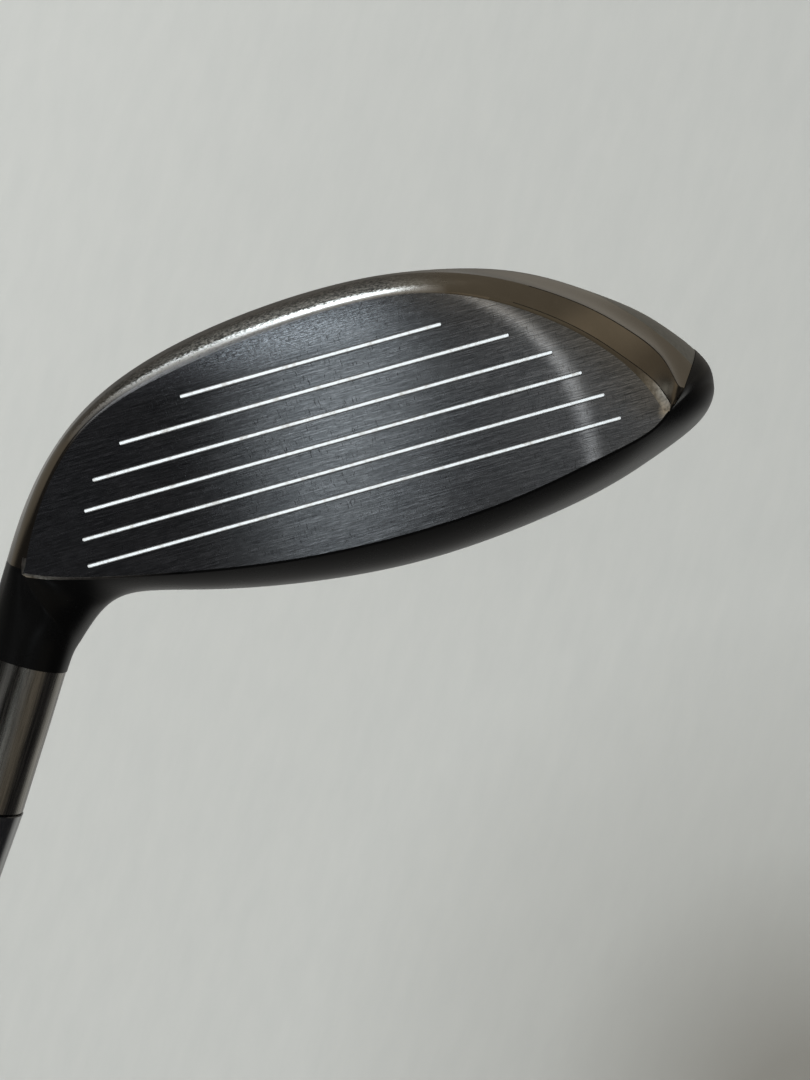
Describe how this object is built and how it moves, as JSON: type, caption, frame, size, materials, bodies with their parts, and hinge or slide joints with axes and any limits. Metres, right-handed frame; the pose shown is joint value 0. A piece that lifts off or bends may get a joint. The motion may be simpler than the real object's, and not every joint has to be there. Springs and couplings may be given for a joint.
{
  "type": "hybrid golf club",
  "caption": "Right-handed hybrid golf club: hollow steel head with a scored lofted face, black crown, bare neck, tapered black shaft, rubber grip and a screwed sole weight.",
  "frame": {"origin": "centre of the butt end of the grip, on the shaft axis", "axes": "+Z along the shaft axis from the butt of the grip to the head; +X from the heel to the toe of the head; the face looks towards -Y"},
  "size_m": [0.1005, 0.0613, 1.064],
  "materials": {
    "polished_steel": "mirror-polished dark bronze-tinted steel with fine wear",
    "face_steel": "dark grey steel brushed from heel to toe",
    "black_paint": "gloss black enamel",
    "white_enamel": "white paint fill",
    "screw_steel": "turned steel",
    "washer_rubber": "black nitrile rubber",
    "adhesive": "cured epoxy or tacky resin, amber",
    "carbon": "black lacquered carbon fibre",
    "brass": "plain turned brass",
    "cork": "raw cork",
    "black_plastic": "polished black cellulose",
    "grip_rubber": "black moulded rubber with a fine tread",
    "paper_tape": "cream paper tape"
  },
  "bodies": {
    "club": {"head_casting": "polished_steel", "crown_plate": "black_paint", "face_plate": "face_steel", "score_fill_1": "white_enamel", "score_fill_2": "white_enamel", "score_fill_3": "white_enamel", "score_fill_4": "white_enamel", "score_fill_5": "white_enamel", "score_fill_6": "white_enamel", "debris_resin": "adhesive", "hosel_adhesive": "adhesive", "shaft": "carbon", "tip_weight": "brass", "tip_cork": "cork", "ferrule": "black_plastic", "grip_sleeve": "grip_rubber", "grip_tape": "paper_tape", "grip_cap": "grip_rubber"},
    "washer": {"weight_washer": "washer_rubber"},
    "screw": {"weight_screw": "screw_steel"}
  },
  "joints": [
    {"name": "washer_lift", "type": "slide", "parent": "club", "child": "washer", "axis": [-0.4523, 0.4012, 0.7965], "range_m": [0, 0.007]},
    {"name": "screw_turn", "type": "hinge", "parent": "washer", "child": "screw", "pos_m": [0.03387, 0.02371, 1.04566], "axis": [-0.4523, 0.4012, 0.7965], "range_deg": [0, 2520]}
  ],
  "couplings": [
    {"joint": "screw_turn", "follows": "washer_lift", "rad_per_m": 6283}
  ]
}
